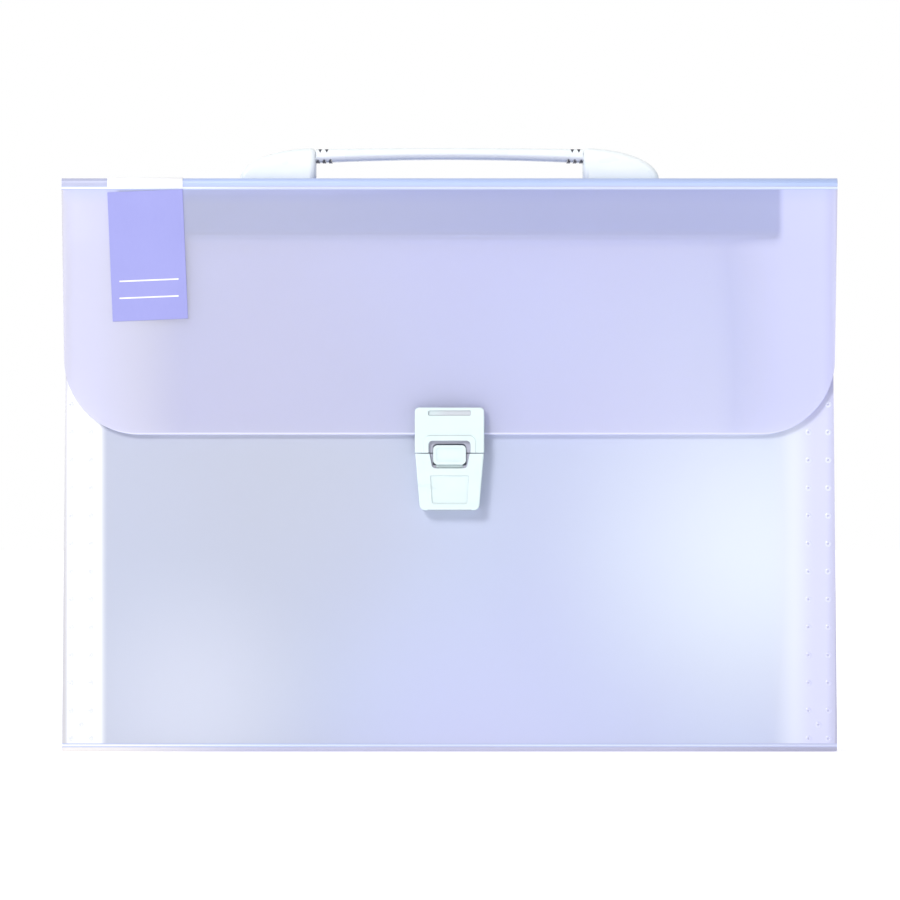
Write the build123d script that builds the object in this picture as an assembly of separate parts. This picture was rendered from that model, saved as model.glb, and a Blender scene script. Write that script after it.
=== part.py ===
from build123d import *
import math
import os

# A twelve-pocket expanding file for A4 papers, standing upright on its bottom
# spine. X runs across the file, +X to the right seen from the front, the front
# faces -Y, and +Z is up. The origin is on the ground, in the middle of the
# file's overall width and depth. All lengths are in millimetres.

# Cover: one creased sheet, parted here at its thinned creases
WIDTH = 330.0            # over the side edges
HEIGHT = 244.0           # from the bottom spine's face to the top spine's face
DEPTH = 36.0             # closed, from the flap's face to the back panel's face
SHEET = 0.8              # thickness of the cover sheet
BEND_RADIUS = 2.2        # outer radius where a spine turns into its lip
TOP_LIP = 4.1            # from the top spine's face to its creases
BOTTOM_LIP = 2.7         # from the bottom spine's face to its creases
CREASE_GAP = 0.2         # the parting at a crease
HINGE_STANDOFF = 0.5     # a crease's turning line lies this far outside the sheet

# Flap
FLAP_LENGTH = 104.9      # from the front crease to the lower edge
FLAP_CORNER = 32.0       # the two big rounded corners
FLAP_TAPER = 1.6         # each side draws in by this much towards the lower edge
FLAP_CLEARANCE = 2.4     # air between the flap and the front panel

# Front panel
FRONT_DROP = 26.0        # its top edge lies this far below the top of the file
FRONT_TAPER = 2.2        # each side draws in by this much towards the top
FRONT_CORNER = 5.0

# Dividers and gussets
POCKETS = 12
DIVIDER_SHEET = 0.4
DIVIDER_DROP = 24.0      # divider tops below the top of the file
DIVIDER_CORNER = 4.0
DIVIDER_FOOT = 0.3       # air between a divider's foot and the bottom spine
FILM = 0.3               # thickness of the pleated film
GUSSET_INSET = 2.7       # outer folds, inside the cover's side edges
GUSSET_PLEAT = 23.0      # from the outer folds to the inner folds
GUSSET_DROP = 28.0       # top of the pleats below the top of the file
FLANGE_WIDTH = 15.5      # strip of film that is welded to a panel
FILM_CLEARANCE = 0.2     # between the film and what it runs beside

# Weld dots, in two columns along each side of both panels
DOT_PITCH = 11.85
DOT_FIRST = 5.6          # height of the lowest dots
DOT_OUTER = 3.8          # outer column, from the cover's side edge
DOT_INNER = 12.2         # inner column, from the cover's side edge
DOT_TOP_MARGIN = 6.0     # no dot nearer to a panel's top edge than this
DOT_RADIUS = 1.4
DOT_BORE = 0.7
DOT_RISE = 0.25

# Latch keeper, on the flap
KEEPER_WIDTH = 29.5
KEEPER_HEIGHT = 19.3
KEEPER_PROUD = 5.5       # in front of the flap's face
KEEPER_CORNER = 1.8
KEEPER_OVERHANG = 7.8    # below the flap's lower edge
BEZEL_BORDER = 2.2       # raised border around the window
BEZEL_RISE = 0.5
GRIP_SLOT_WIDTH = 18.0
GRIP_SLOT_HEIGHT = 2.2
GRIP_SLOT_DROP = 1.3     # below the keeper's top edge
GRIP_SLOT_DEPTH = 1.0
GRIP_SLOT_CORNER = 0.7
LATCH_EDGE = 0.6         # rounding around the faces of keeper and base

# Latch base, on the front panel
LATCH_PARTING = 0.35     # between the keeper and the base
BASE_HEIGHT = 24.0
BASE_TOP_WIDTH = 29.2
BASE_FOOT_WIDTH = 25.1
BASE_CORNER = 2.4
BASE_WALL = 1.6
PANEL_RECESS_WIDTH = 16.4
PANEL_RECESS_TAPER = 0.8
PANEL_RECESS_HEIGHT = 12.1
PANEL_RECESS_FOOT = 2.6  # above the base's foot
PANEL_RECESS_DEPTH = 0.5

# Window shared by keeper and base, and the button inside it
WINDOW_WIDTH = 17.7
WINDOW_ABOVE = 5.1       # above the parting
WINDOW_BELOW = 6.2       # below the parting
WINDOW_STEP = 0.3        # each side of the base's part of it is narrower by this
WINDOW_TAPER = 1.2       # and draws in by this much more towards its foot
WINDOW_CORNER = 1.7
BUTTON_WIDTH = 13.9
BUTTON_HEIGHT = 8.2
BUTTON_FOOT_GAP = 1.6    # between the button and the window's lower edge
BUTTON_CHIN = 1.3        # ledge below the button
BUTTON_CHIN_SETBACK = 1.5
BUTTON_CORNER = 1.8
BUTTON_RIM = 1.3
BUTTON_DISH = 0.6
BUTTON_SETBACK = 0.4     # its face behind the keeper's face
BUTTON_THICKNESS = 2.6
SPRING_ARM_WIDTH = 9.0
SPRING_ARM_THICKNESS = 0.9
ARM_STANDOFF = 1.9       # the arm's back face in front of the panel
ARM_ROOT_HEIGHT = 4.0    # block at the base's foot, on which the arm turns
ARM_CLEARANCE = 0.3      # between that block and what it sits in

# Backing plates and rivets of the latch
LATCH_PLATE = 1.0
LATCH_PLATE_CORNER = 1.0
KEEPER_PLATE_WIDTH = 25.0
KEEPER_PLATE_HEIGHT = 8.6
BASE_PLATE_MARGIN = 1.3  # beyond the rivets' middles
BASE_PLATE_HEIGHT = 20.0
RIVET_RADIUS = 1.2
RIVET_CLEARANCE = 0.06
RIVET_DEPTH = 2.6        # into the moulding
RIVET_HEAD_RADIUS = 1.8
RIVET_HEAD = 0.4
KEEPER_RIVET_SPACING = 18.0
BASE_RIVET_SPACING = 22.0
BASE_RIVET_RISE = 17.0
BASE_RIVET_TAPER = 1.0

# Handle, on the top spine
GRIP_SPAN = 114.0        # between the two end caps
CAP_LENGTH = 32.3
CAP_RISE = 13.2          # above the top spine
CAP_DEPTH = 18.0
CAP_EDGE = 2.0           # rounding along the cap's crown
CAP_CORNER = 2.6         # rounding of the upright corners beside the grip
STRAP_THICKNESS = 5.6
STRAP_DEPTH = 14.0
STRAP_EDGE = 1.8
STRAP_CLEARANCE = 7.2    # finger room between the strap and the top spine
STRAP_TOP_ARCH = 0.5     # top of the strap's middle above its ends
STRAP_FOOT_ARCH = 1.4    # underside of the strap's middle above its ends
FLEX_LENGTH = 9.5        # notched zone at each end of the strap
NOTCH_PITCH = 2.7
NOTCH_START_TOP = 0.5    # first notch from the cap, on top
NOTCH_START_FOOT = 2.3   # and on the underside
NOTCH_WIDTH = 1.2
NOTCH_DEPTH = 1.5
NOTCHES = 3
TAIL_LENGTH = 10.0       # strap tail inside a cap
TAIL_THICKNESS = 2.0
TAIL_RISE = 0.9          # its underside above the strap's underside
TAIL_CLEARANCE = 0.3
STOP_LENGTH = 2.5        # thickened end that keeps the tail in its cap
STOP_THICKNESS = 2.8
HANDLE_PLATE = 1.2
HANDLE_PLATE_INSET = 1.5
HANDLE_PLATE_CORNER = 2.0
HANDLE_RIVET_RADIUS = 1.6
HANDLE_RIVET_DEPTH = 3.0
HANDLE_RIVET_SPACING = 18.0
HANDLE_RIVET_HEAD = 0.8
HANDLE_RIVET_HEAD_RADIUS = 2.8

# Paper tag, a card that is folded over the front edge of the top spine
TAG_WIDTH = 32.0
TAG_LENGTH = 55.0
TAG_CARD = 0.35
TAG_INSET = 35.5         # its middle, from the cover's left edge, at its upper end
TAG_TILT = 2.4           # degrees, its foot swung to the right
TAG_START = 1.3          # its printed face starts this far below the crease
TAG_FOLD_REACH = 14.0    # how far the fold runs back over the top spine
TAG_CHAMFER = 2.5
TAG_AIR = 0.05

# Places that follow from the sizes above
HALF_WIDTH = WIDTH / 2
BACK_FACE = (DEPTH + KEEPER_PROUD + BEZEL_RISE - DOT_RISE) / 2
FLAP_FACE = BACK_FACE - DEPTH
FRONT_FACE = FLAP_FACE + SHEET + FLAP_CLEARANCE
FRONT_INSIDE = FRONT_FACE + SHEET
BACK_INSIDE = BACK_FACE - SHEET
TOP_CREASE = HEIGHT - TOP_LIP
BOTTOM_CREASE = BOTTOM_LIP
FLAP_EDGE = TOP_CREASE - FLAP_LENGTH
FRONT_TOP = HEIGHT - FRONT_DROP
POCKET_PITCH = (BACK_INSIDE - FRONT_INSIDE) / POCKETS
FOLD_OUTER = HALF_WIDTH - GUSSET_INSET
FOLD_INNER = FOLD_OUTER - GUSSET_PLEAT
LATCH_FACE = FLAP_FACE - KEEPER_PROUD
KEEPER_FOOT = FLAP_EDGE - KEEPER_OVERHANG
KEEPER_TOP = KEEPER_FOOT + KEEPER_HEIGHT
BASE_TOP = KEEPER_FOOT - LATCH_PARTING
BASE_FOOT = BASE_TOP - BASE_HEIGHT
WINDOW_FOOT = BASE_TOP - WINDOW_BELOW
BUTTON_FOOT = WINDOW_FOOT + BUTTON_FOOT_GAP
SPINE_MIDDLE = (FLAP_FACE + BACK_FACE) / 2
STRAP_FOOT = HEIGHT + STRAP_CLEARANCE
HALF_SPAN = GRIP_SPAN / 2
TAG_CENTRE = TAG_INSET - HALF_WIDTH


def upright(face, y_front, thickness):
    """A sheet from a face drawn in X and Z, its front at y_front."""
    return extrude(Plane.XZ.offset(-(y_front + thickness)) * face, thickness)


def along_x(face, x_start, x_end):
    """A bar from a section drawn in Y and Z."""
    return extrude(Plane.YZ.offset(x_start) * face, x_end - x_start)


def block(x_low, x_high, y_low, y_high, z_low, z_high):
    """A plain block between two corners."""
    size = (x_high - x_low, y_high - y_low, z_high - z_low)
    middle = ((x_low + x_high) / 2, (y_low + y_high) / 2, (z_low + z_high) / 2)
    return Pos(*middle) * Box(*size)


def pin_y(x, z, y_start, y_end, radius):
    """A round pin along Y."""
    middle = Pos(x, (y_start + y_end) / 2, z)
    return middle * Rot(90, 0, 0) * Cylinder(radius, abs(y_end - y_start))


def pin_z(x, y, z_start, z_end, radius):
    """A round pin along Z."""
    return Pos(x, y, (z_start + z_end) / 2) * Cylinder(radius, z_end - z_start)


def trapezoid(foot_half, top_half, z_foot, z_top, foot_radius=0.0, top_radius=0.0):
    """A face in X and Z with straight sides and rounded corners."""
    corners = [(-foot_half, z_foot), (foot_half, z_foot), (top_half, z_top), (-top_half, z_top)]
    face = make_face(Polyline(*corners, close=True))
    if foot_radius > 0:
        face = fillet(face.vertices().group_by(Axis.Y)[0], foot_radius)
    if top_radius > 0:
        face = fillet(face.vertices().group_by(Axis.Y)[-1], top_radius)
    return face


def ribbon(points, thickness):
    """A face of even thickness along a line of straight runs."""
    line = [Vector(*p) for p in points]
    left, right = [], []
    for i, point in enumerate(line):
        before = (point - line[i - 1]).normalized() if i else None
        after = (line[i + 1] - point).normalized() if i < len(line) - 1 else None
        before = before or after
        after = after or before
        side_a = Vector(-before.Y, before.X)
        side_b = Vector(-after.Y, after.X)
        mitre = (side_a + side_b) * (thickness / 2 / (1 + side_a.dot(side_b)))
        left.append(tuple(point + mitre)[:2])
        right.append(tuple(point - mitre)[:2])
    return make_face(Polyline(*left, *reversed(right), close=True))


def rounded_box_section(y_low, y_high, z_low, z_high, radius):
    """A rounded rectangle in Y and Z."""
    middle = Pos((y_low + y_high) / 2, (z_low + z_high) / 2)
    return middle * RectangleRounded(y_high - y_low, z_high - z_low, radius)


def group(solids):
    """Several separate solids of one node."""
    return Compound(children=list(solids))


def spine(y_front, y_back, z_face, up, lip):
    """A spine with its two lips, up being +1 for the top spine and -1 for the bottom one."""
    reach = lip - CREASE_GAP / 2
    far = z_face - up * HEIGHT / 2
    low, high = min(z_face, far), max(z_face, far)
    shell = rounded_box_section(y_front, y_back, low, high, BEND_RADIUS)
    inside = rounded_box_section(y_front + SHEET, y_back - SHEET, low + SHEET, high - SHEET,
                                 BEND_RADIUS - SHEET)
    middle = z_face - up * reach / 2
    band = Pos((y_front + y_back) / 2, middle) * Rectangle(y_back - y_front, reach)
    return along_x((shell - inside) & band, -HALF_WIDTH, HALF_WIDTH)


def handle_rivet_places():
    """Where the four handle rivets stand, in X."""
    cap_middle = HALF_SPAN + CAP_LENGTH / 2 - HANDLE_PLATE_INSET
    offsets = (-HANDLE_RIVET_SPACING / 2, HANDLE_RIVET_SPACING / 2)
    return [side * (cap_middle + offset) for side in (-1, 1) for offset in offsets]


def top_spine():
    body = spine(FLAP_FACE, BACK_FACE, HEIGHT, 1, TOP_LIP)
    for x in handle_rivet_places():
        body -= pin_z(x, SPINE_MIDDLE, HEIGHT - 2 * SHEET, HEIGHT + SHEET,
                      HANDLE_RIVET_RADIUS + RIVET_CLEARANCE)
    return body


def bottom_spine():
    return spine(FRONT_FACE, BACK_FACE, 0.0, -1, BOTTOM_LIP)


def back_panel():
    face = trapezoid(HALF_WIDTH, HALF_WIDTH, BOTTOM_CREASE + CREASE_GAP / 2,
                     TOP_CREASE - CREASE_GAP / 2)
    return upright(face, BACK_INSIDE, SHEET)


def base_rivet_places():
    """Where the latch base's four rivets stand, in X and Z."""
    low = BASE_FOOT + (BASE_HEIGHT - BASE_RIVET_RISE) / 2
    half = BASE_RIVET_SPACING / 2
    return [(side * (half - taper), z) for side in (-1, 1)
            for taper, z in ((BASE_RIVET_TAPER, low), (0.0, low + BASE_RIVET_RISE))]


def keeper_rivet_places():
    """Where the keeper's two rivets stand, in X and Z."""
    z = (FLAP_EDGE + KEEPER_TOP) / 2
    return [(side * KEEPER_RIVET_SPACING / 2, z) for side in (-1, 1)]


def front_panel():
    face = trapezoid(HALF_WIDTH, HALF_WIDTH - FRONT_TAPER, BOTTOM_CREASE + CREASE_GAP / 2,
                     FRONT_TOP, 0.0, FRONT_CORNER)
    body = upright(face, FRONT_FACE, SHEET)
    for x, z in base_rivet_places():
        body -= pin_y(x, z, FRONT_FACE - SHEET, FRONT_INSIDE + SHEET, RIVET_RADIUS + RIVET_CLEARANCE)
    return body


def flap():
    face = trapezoid(HALF_WIDTH - FLAP_TAPER, HALF_WIDTH, FLAP_EDGE,
                     TOP_CREASE - CREASE_GAP / 2, FLAP_CORNER)
    body = upright(face, FLAP_FACE, SHEET)
    for x, z in keeper_rivet_places():
        body -= pin_y(x, z, FLAP_FACE - SHEET, FLAP_FACE + 2 * SHEET, RIVET_RADIUS + RIVET_CLEARANCE)
    return body


def divider(number):
    """Divider number 1 is the one next to the front panel."""
    half = FOLD_INNER - FILM / 2 - FILM_CLEARANCE
    face = trapezoid(half, half, SHEET + DIVIDER_FOOT, HEIGHT - DIVIDER_DROP, 0.0, DIVIDER_CORNER)
    middle = FRONT_INSIDE + number * POCKET_PITCH
    return upright(face, middle - DIVIDER_SHEET / 2, DIVIDER_SHEET)


def gusset(side):
    """The pleated film of one side: its inner folds hold the dividers."""
    first = FRONT_INSIDE + FILM + FILM_CLEARANCE
    last = BACK_INSIDE - FILM - FILM_CLEARANCE
    points = [(FOLD_OUTER, first)]
    for number in range(1, POCKETS):
        middle = FRONT_INSIDE + number * POCKET_PITCH
        before, after = middle - POCKET_PITCH / 4, middle + POCKET_PITCH / 4
        points += [(FOLD_OUTER, before), (FOLD_INNER, before), (FOLD_INNER, after), (FOLD_OUTER, after)]
    points.append((FOLD_OUTER, last))
    line = [(side * x, y) for x, y in points]
    foot = SHEET + DIVIDER_FOOT
    return extrude(Plane.XY.offset(foot) * ribbon(line, FILM), HEIGHT - GUSSET_DROP - foot)


def flange(side, y_start):
    """The welded end strip of a gusset, flat on a panel's inner face."""
    outer = FOLD_OUTER + FILM / 2
    x_low, x_high = sorted((side * outer, side * (outer - FLANGE_WIDTH)))
    return block(x_low, x_high, y_start, y_start + FILM, BOTTOM_CREASE + CREASE_GAP,
                 HEIGHT - GUSSET_DROP)


def weld_dots(side, y_face, outward, top):
    """Raised rings of the spot welds, outward being -1 in front and +1 behind."""
    places = [(DOT_OUTER + DOT_INNER) / 2]
    heights = [DOT_FIRST + DOT_PITCH / 2]
    count = int((top - DOT_TOP_MARGIN - DOT_FIRST) / DOT_PITCH) + 1
    for number in range(count):
        places += [DOT_OUTER, DOT_INNER]
        heights += [DOT_FIRST + number * DOT_PITCH] * 2
    rings = []
    for inset, z in zip(places, heights):
        x = side * (HALF_WIDTH - inset)
        ring = pin_y(x, z, y_face, y_face + outward * DOT_RISE, DOT_RADIUS)
        rings.append(ring - pin_y(x, z, y_face, y_face + outward * DOT_RISE, DOT_BORE))
    return group(rings)


def keeper_window():
    """The keeper's part of the window, open below."""
    half = WINDOW_WIDTH / 2
    return trapezoid(half, half, KEEPER_FOOT - LATCH_PARTING, KEEPER_FOOT + WINDOW_ABOVE, 0.0,
                     WINDOW_CORNER)


def base_window():
    """The base's part of the window, open above and narrower below."""
    half = WINDOW_WIDTH / 2 - WINDOW_STEP
    return trapezoid(half - WINDOW_TAPER, half, WINDOW_FOOT, BASE_TOP, WINDOW_CORNER)


def latch_keeper():
    half = KEEPER_WIDTH / 2
    body = upright(trapezoid(half, half, KEEPER_FOOT, KEEPER_TOP, 0.0, KEEPER_CORNER),
                   LATCH_FACE, KEEPER_PROUD)
    face_edges = body.edges().filter_by(Plane.XZ).group_by(Axis.Y)[0]
    body = fillet(face_edges.filter_by(lambda e: e.center().Z > KEEPER_FOOT + LATCH_EDGE),
                  LATCH_EDGE)
    border_half = WINDOW_WIDTH / 2 + BEZEL_BORDER
    border_top = KEEPER_FOOT + WINDOW_ABOVE + BEZEL_BORDER
    border = trapezoid(border_half, border_half, KEEPER_FOOT, border_top, 0.0,
                       WINDOW_CORNER + BEZEL_BORDER / 2)
    body += upright(border, LATCH_FACE - BEZEL_RISE, BEZEL_RISE + KEEPER_PROUD / 2)
    body -= upright(keeper_window(), LATCH_FACE - 2 * BEZEL_RISE, KEEPER_PROUD + 3 * BEZEL_RISE)
    slot_middle = Pos(0, KEEPER_TOP - GRIP_SLOT_DROP - GRIP_SLOT_HEIGHT / 2)
    slot = slot_middle * RectangleRounded(GRIP_SLOT_WIDTH, GRIP_SLOT_HEIGHT, GRIP_SLOT_CORNER)
    body -= upright(slot, LATCH_FACE, GRIP_SLOT_DEPTH)
    for x, z in keeper_rivet_places():
        body -= pin_y(x, z, FLAP_FACE - RIVET_DEPTH, FLAP_FACE, RIVET_RADIUS + RIVET_CLEARANCE)
    return body


def latch_base():
    top_half, foot_half = BASE_TOP_WIDTH / 2, BASE_FOOT_WIDTH / 2
    proud = FRONT_FACE - LATCH_FACE
    body = upright(trapezoid(foot_half, top_half, BASE_FOOT, BASE_TOP, BASE_CORNER),
                   LATCH_FACE, proud)
    face_edges = body.edges().filter_by(Plane.XZ).group_by(Axis.Y)[0]
    body = fillet(face_edges.filter_by(lambda e: e.center().Z < BASE_TOP - LATCH_EDGE),
                  LATCH_EDGE)
    body -= upright(base_window(), LATCH_FACE - BASE_WALL, proud + 2 * BASE_WALL)
    cavity_half = WINDOW_WIDTH / 2
    body -= block(-cavity_half, cavity_half, LATCH_FACE + BASE_WALL, FRONT_FACE,
                  BASE_FOOT + BASE_WALL, BASE_TOP)
    recess_foot = BASE_FOOT + PANEL_RECESS_FOOT
    recess_half = PANEL_RECESS_WIDTH / 2
    recess = trapezoid(recess_half - PANEL_RECESS_TAPER, recess_half, recess_foot,
                       recess_foot + PANEL_RECESS_HEIGHT, BASE_CORNER / 2, BASE_CORNER / 4)
    body -= upright(recess, LATCH_FACE, PANEL_RECESS_DEPTH)
    for x, z in base_rivet_places():
        body -= pin_y(x, z, FRONT_FACE - RIVET_DEPTH, FRONT_FACE, RIVET_RADIUS + RIVET_CLEARANCE)
    return body


def latch_button():
    """The button and the spring arm that carries it, one moulding."""
    face_y = LATCH_FACE + BUTTON_SETBACK
    middle = Pos(0, BUTTON_FOOT + BUTTON_HEIGHT / 2)
    outline = middle * RectangleRounded(BUTTON_WIDTH, BUTTON_HEIGHT, BUTTON_CORNER)
    dish = middle * RectangleRounded(BUTTON_WIDTH - 2 * BUTTON_RIM, BUTTON_HEIGHT - 2 * BUTTON_RIM,
                                     BUTTON_CORNER / 2)
    body = upright(outline, face_y, BUTTON_THICKNESS)
    body -= upright(dish, face_y, BUTTON_DISH)
    chin_half = BUTTON_WIDTH / 2 - BUTTON_RIM
    body += block(-chin_half, chin_half, face_y + BUTTON_CHIN_SETBACK, face_y + BUTTON_THICKNESS,
                  BUTTON_FOOT - BUTTON_CHIN, BUTTON_FOOT + BUTTON_RIM)
    arm_back = FRONT_FACE - ARM_STANDOFF
    arm_front = arm_back - SPRING_ARM_THICKNESS
    half = SPRING_ARM_WIDTH / 2
    arm_foot = BASE_FOOT + BASE_WALL + ARM_CLEARANCE
    body += block(-half, half, face_y + BUTTON_THICKNESS / 2, arm_back, BUTTON_FOOT + BUTTON_RIM,
                  BUTTON_FOOT + BUTTON_HEIGHT - BUTTON_RIM)
    body += block(-half, half, arm_front, arm_back, arm_foot, BUTTON_FOOT + BUTTON_HEIGHT / 2)
    body += block(-half, half, arm_front, FRONT_FACE - ARM_CLEARANCE, arm_foot,
                  arm_foot + ARM_ROOT_HEIGHT)
    return body


def rivets_y(places, y_inside, y_deep):
    """Rivets whose heads lie on a backing plate at y_inside."""
    pins = []
    for x, z in places:
        shank = pin_y(x, z, y_deep, y_inside, RIVET_RADIUS)
        pins.append(shank + pin_y(x, z, y_inside, y_inside + RIVET_HEAD, RIVET_HEAD_RADIUS))
    return group(pins)


def latch_plate(places, width, z_low, z_high, y_start):
    half = width / 2
    body = upright(trapezoid(half, half, z_low, z_high, LATCH_PLATE_CORNER, LATCH_PLATE_CORNER),
                   y_start, LATCH_PLATE)
    for x, z in places:
        body -= pin_y(x, z, y_start, y_start + LATCH_PLATE, RIVET_RADIUS + RIVET_CLEARANCE)
    return body


def handle_cap(side):
    """A hollow end cap with a quarter-ellipse back, open towards the grip."""
    inner = HALF_SPAN
    crown = HEIGHT + CAP_RISE
    half = CAP_DEPTH / 2
    curve = EllipticalCenterArc((inner, HEIGHT), CAP_LENGTH, CAP_RISE, start_angle=0, arc_size=90)
    outline = make_face([Line((inner, HEIGHT), (inner + CAP_LENGTH, HEIGHT)), curve,
                         Line((inner, crown), (inner, HEIGHT))])
    body = upright(outline, SPINE_MIDDLE - half, CAP_DEPTH)
    uprights = body.edges().filter_by(Axis.Z).filter_by(lambda e: e.center().X < inner + CAP_EDGE)
    body = fillet(uprights, CAP_CORNER)
    crown_edges = [e for e in body.edges() if e.geom_type == GeomType.ELLIPSE]
    body = fillet(crown_edges, CAP_EDGE)
    tail = TAIL_LENGTH + STOP_LENGTH + 2 * TAIL_CLEARANCE
    room = STRAP_DEPTH / 2 + TAIL_CLEARANCE
    floor = STRAP_FOOT + TAIL_RISE - TAIL_CLEARANCE
    roof = STRAP_FOOT + TAIL_RISE + STOP_THICKNESS + TAIL_CLEARANCE
    body -= block(inner, inner + tail, SPINE_MIDDLE - room, SPINE_MIDDLE + room, floor, roof)
    for x in handle_rivet_places():
        body -= pin_z(abs(x), SPINE_MIDDLE, HEIGHT, HEIGHT + HANDLE_RIVET_DEPTH,
                      HANDLE_RIVET_RADIUS + RIVET_CLEARANCE)
    return body if side > 0 else mirror(body, Plane.YZ)


def handle_grip():
    """The middle of the strap, which arches slightly and rises as it is lifted."""
    half = HALF_SPAN - FLEX_LENGTH
    low, high = STRAP_FOOT, STRAP_FOOT + STRAP_THICKNESS
    outline = make_face([
        ThreePointArc((-half, low), (0, low + STRAP_FOOT_ARCH), (half, low)),
        Line((half, low), (half, high)),
        ThreePointArc((half, high), (0, high + STRAP_TOP_ARCH), (-half, high)),
        Line((-half, high), (-half, low)),
    ])
    body = upright(outline, SPINE_MIDDLE - STRAP_DEPTH / 2, STRAP_DEPTH)
    long_edges = [e for e in body.edges() if e.geom_type == GeomType.CIRCLE]
    return fillet(long_edges, STRAP_EDGE)


def handle_flex(side):
    """The notched end of the strap, with the tail and stop that the cap holds."""
    low, high = STRAP_FOOT, STRAP_FOOT + STRAP_THICKNESS
    y_low, y_high = SPINE_MIDDLE - STRAP_DEPTH / 2, SPINE_MIDDLE + STRAP_DEPTH / 2
    start = HALF_SPAN - FLEX_LENGTH
    section = rounded_box_section(y_low, y_high, low, high, STRAP_EDGE)
    body = along_x(section, start, HALF_SPAN)
    for number in range(NOTCHES):
        for z, way, first in ((high, -1, NOTCH_START_TOP), (low, 1, NOTCH_START_FOOT)):
            x = HALF_SPAN - first - NOTCH_PITCH * number
            vee = [(x - NOTCH_WIDTH / 2, z), (x + NOTCH_WIDTH / 2, z), (x, z + way * NOTCH_DEPTH)]
            body -= upright(make_face(Polyline(*vee, close=True)), y_low, STRAP_DEPTH)
    foot, tail_end = low + TAIL_RISE, HALF_SPAN + TAIL_LENGTH
    body += block(HALF_SPAN, tail_end, y_low, y_high, foot, foot + TAIL_THICKNESS)
    body += block(tail_end, tail_end + STOP_LENGTH, y_low, y_high, foot, foot + STOP_THICKNESS)
    return body if side > 0 else mirror(body, Plane.YZ)


def handle_plate(side):
    """A backing plate under the top spine, below one end cap."""
    x_low, x_high = sorted((side * HALF_SPAN, side * (HALF_SPAN + CAP_LENGTH - 2 * HANDLE_PLATE_INSET)))
    half = CAP_DEPTH / 2
    top = HEIGHT - SHEET
    body = block(x_low, x_high, SPINE_MIDDLE - half, SPINE_MIDDLE + half, top - HANDLE_PLATE, top)
    body = fillet(body.edges().filter_by(Axis.Z), HANDLE_PLATE_CORNER)
    for x in handle_rivet_places():
        if x * side > 0:
            body -= pin_z(x, SPINE_MIDDLE, top - HANDLE_PLATE, top,
                          HANDLE_RIVET_RADIUS + RIVET_CLEARANCE)
    return body


def handle_rivets():
    """Four rivets from below the backing plates up into the end caps."""
    seat = HEIGHT - SHEET - HANDLE_PLATE
    pins = []
    for x in handle_rivet_places():
        shank = pin_z(x, SPINE_MIDDLE, seat, HEIGHT + HANDLE_RIVET_DEPTH, HANDLE_RIVET_RADIUS)
        head = pin_z(x, SPINE_MIDDLE, seat - HANDLE_RIVET_HEAD, seat, HANDLE_RIVET_HEAD_RADIUS)
        pins.append(shank + head)
    return group(pins)


def label_tag():
    """The printed face of the card, flat on the flap."""
    top = TOP_CREASE - TAG_START
    card = Pos(0, -TAG_LENGTH / 2) * Rectangle(TAG_WIDTH, TAG_LENGTH)
    card = Pos(TAG_CENTRE, top) * Rot(0, 0, TAG_TILT) * card
    return upright(card, FLAP_FACE - TAG_CARD - TAG_AIR, TAG_CARD)


def label_tag_fold():
    """The blank end of the card, folded over the front edge of the top spine."""
    inner, outer = TAG_AIR, TAG_AIR + TAG_CARD
    sections = [rounded_box_section(FLAP_FACE - grow, BACK_FACE + grow, HEIGHT / 2, HEIGHT + grow,
                                    BEND_RADIUS + grow) for grow in (inner, outer)]
    low = TOP_CREASE + CREASE_GAP / 2
    high = HEIGHT + outer
    y_low, y_high = FLAP_FACE - outer, FLAP_FACE + TAG_FOLD_REACH
    keep = Pos((y_low + y_high) / 2, (low + high) / 2) * Rectangle(y_high - y_low, high - low)
    half = TAG_WIDTH / 2
    body = along_x((sections[1] - sections[0]) & keep, TAG_CENTRE - half, TAG_CENTRE + half)
    for way in (-1, 1):
        corner = [(TAG_CENTRE + way * half, y_high), (TAG_CENTRE + way * (half - TAG_CHAMFER), y_high),
                  (TAG_CENTRE + way * half, y_high - TAG_CHAMFER)]
        cut = make_face(Polyline(*corner, close=True))
        body -= extrude(Plane.XY.offset(HEIGHT) * cut, 2 * outer)
    return body


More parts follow.
